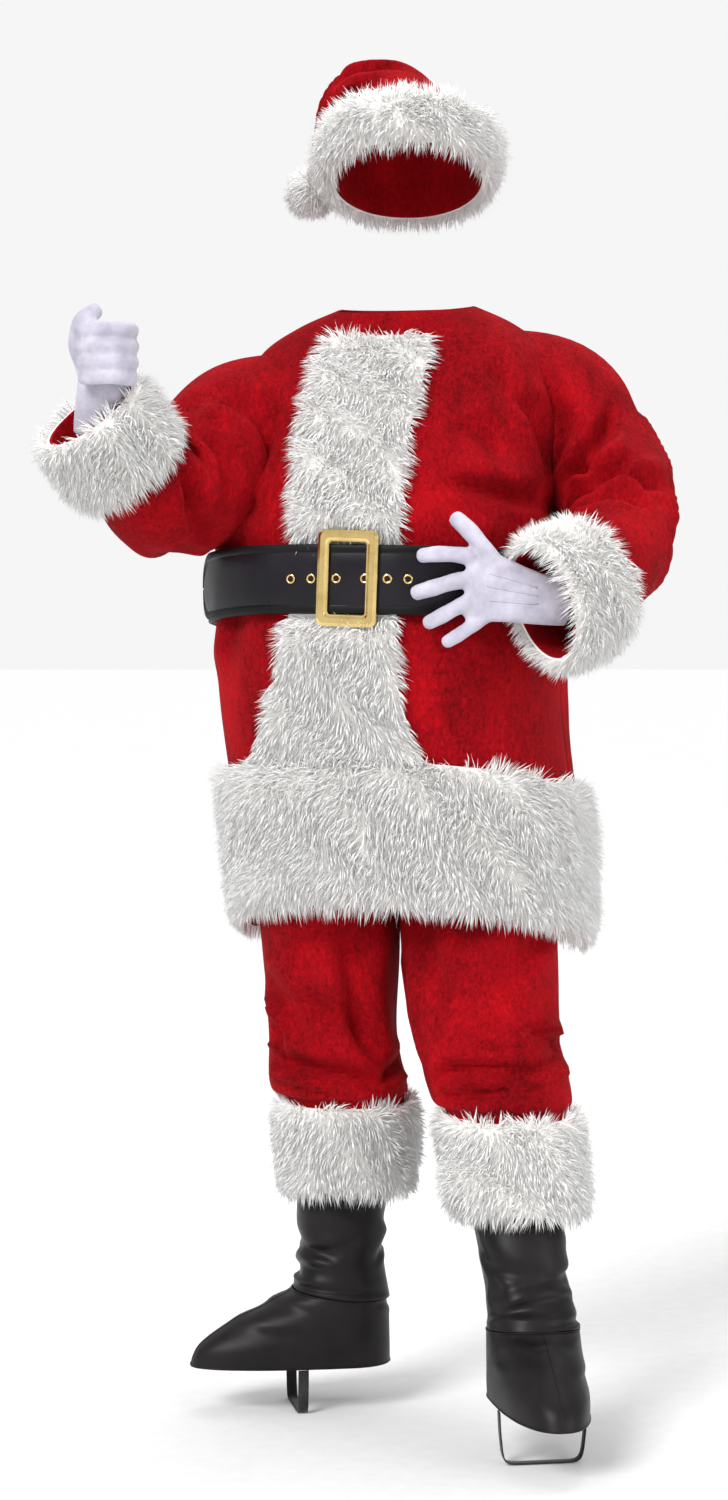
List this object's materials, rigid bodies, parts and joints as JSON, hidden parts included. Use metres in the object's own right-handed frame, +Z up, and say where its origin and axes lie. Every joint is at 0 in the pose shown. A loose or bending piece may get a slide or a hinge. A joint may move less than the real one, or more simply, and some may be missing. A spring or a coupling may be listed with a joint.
{
  "type": "santa suit",
  "caption": "Red plush Christmas costume with white fur trim, in its worn hollow form: coat with a wide buckled belt, floppy hat, trousers, boot covers and gloves.",
  "frame": {"origin": "where the wearer's shoulders carry the coat, 1.47 m above the soles, midway between the shoulders", "axes": "+Z up, the front faces -Y turned 18 degrees towards -X, +X to the wearer's left"},
  "size_m": [0.8161, 0.6499, 1.8116],
  "materials": {
    "plush": "velvety red plush",
    "fur": "long white pile",
    "belt": "satin leatherette",
    "gold": "polished",
    "boot": "soft satin leatherette",
    "elastic": "woven elastic",
    "glove": "smooth knit"
  },
  "bodies": {
    "root": {"coat_back": "plush", "coat_front_left": "plush", "coat_front_right": "plush", "coat_sleeve_left": "plush", "coat_sleeve_right": "plush", "hat_crown": "plush", "trouser_front_left": "plush", "trouser_front_right": "plush", "trouser_back_left": "plush", "trouser_back_right": "plush", "trouser_waistband": "plush", "coat_front_fur": "fur", "coat_hem_fur": "fur", "coat_cuff_fur_left": "fur", "coat_cuff_fur_right": "fur", "hat_fur_band": "fur", "hat_pompom": "fur", "trouser_cuff_fur_left": "fur", "trouser_cuff_fur_right": "fur", "belt_strap": "belt", "belt_buckle": "gold", "belt_eyelet_1": "gold", "belt_eyelet_2": "gold", "belt_eyelet_3": "gold", "belt_eyelet_4": "gold", "belt_eyelet_5": "gold", "belt_eyelet_6": "gold", "boot_shaft_left": "boot", "boot_shaft_right": "boot", "boot_foot_left": "boot", "boot_foot_right": "boot", "boot_stirrup_left": "elastic", "boot_stirrup_right": "elastic", "glove_left": "glove", "glove_right": "glove"}
  },
  "joints": []
}
